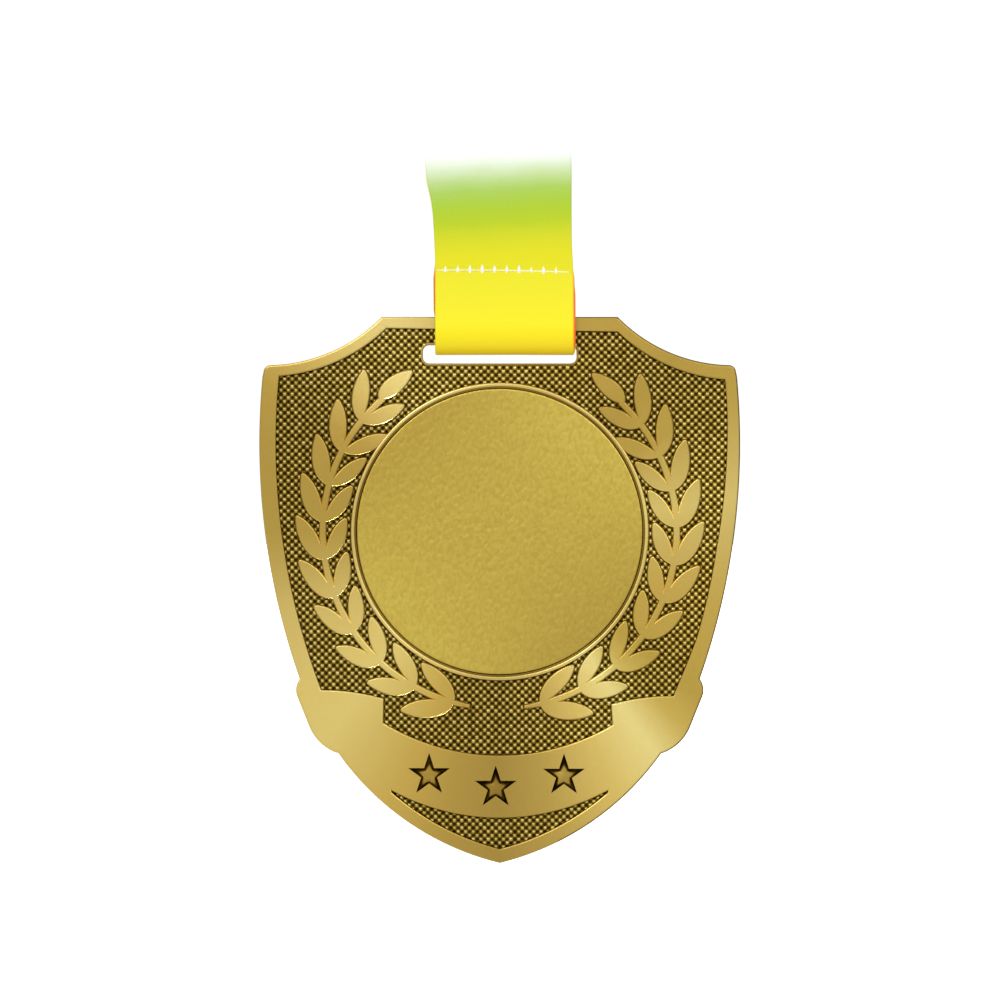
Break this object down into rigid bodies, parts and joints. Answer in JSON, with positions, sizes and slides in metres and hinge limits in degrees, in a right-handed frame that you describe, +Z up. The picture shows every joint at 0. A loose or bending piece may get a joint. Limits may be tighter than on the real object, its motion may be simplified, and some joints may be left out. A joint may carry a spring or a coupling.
{
  "type": "medal",
  "caption": "Shield-shaped award medal with a laurel wreath, banner and round centre insert, hung from a flat neck ribbon that loops through its top slot.",
  "frame": {"origin": "on the axis of the bar that the ribbon turns over, at the middle of the ribbon's width", "axes": "+X along the hanging bar, +Y from the face to the back, +Z up; the medal faces -Y and hangs below the bar"},
  "size_m": [0.0838, 0.0307, 0.1242],
  "materials": {
    "antique_gold": "zinc die casting with satin antique gold plating, dark in the recesses",
    "grained_gold": "fine sand-grained satin gold plate",
    "adhesive": "clear double-sided adhesive film",
    "ribbon_satin": "woven satin ribbon with a print that runs from yellow through green to white",
    "thread": "white sewing thread",
    "band_elastic": "white woven elastic"
  },
  "bodies": {
    "ribbon": {"ribbon_turn": "ribbon_satin", "ribbon_loop": "ribbon_satin", "ribbon_hank": "ribbon_satin", "loop_stitching": "thread", "neck_stitching": "thread", "hank_band": "band_elastic"},
    "medal": {"shield_casting": "antique_gold", "disc_adhesive": "adhesive", "centre_disc": "grained_gold"}
  },
  "joints": [
    {"name": "medal_swing", "type": "hinge", "parent": "ribbon", "child": "medal", "pos_m": [0, -0.0055, -0.02555], "axis": [-1, 0, 0], "range_deg": [-75, 85]}
  ]
}
